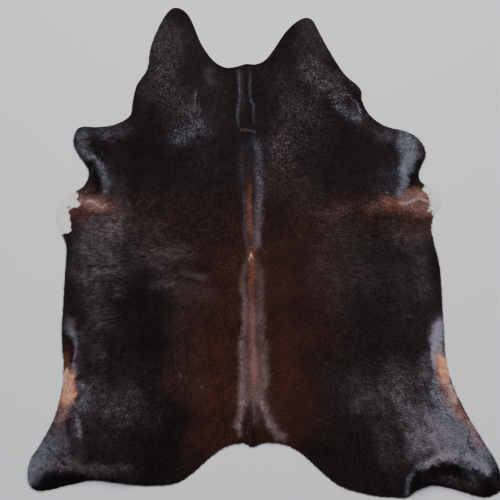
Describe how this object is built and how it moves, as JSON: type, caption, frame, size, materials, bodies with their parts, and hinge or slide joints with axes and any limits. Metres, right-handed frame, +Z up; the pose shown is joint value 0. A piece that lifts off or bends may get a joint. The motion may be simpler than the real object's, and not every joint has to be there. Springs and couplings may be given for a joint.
{
  "type": "cowhide rug",
  "caption": "Whole cowhide rug with a short dark brown coat, laid out hair side up in the outline of the animal, with low folds at legs and flanks.",
  "frame": {"origin": "on the floor under the middle of the hide's bounding box", "axes": "+Y along the spine towards the neck, +X to the right with the neck away from the viewer, +Z up out of the hair side"},
  "size_m": [1.9006, 2.3372, 0.04],
  "materials": {
    "coat": "short smooth hair, near black at the sides and reddish brown along the back, with white belly edges"
  },
  "bodies": {
    "root": {"hide": "coat"}
  },
  "joints": []
}
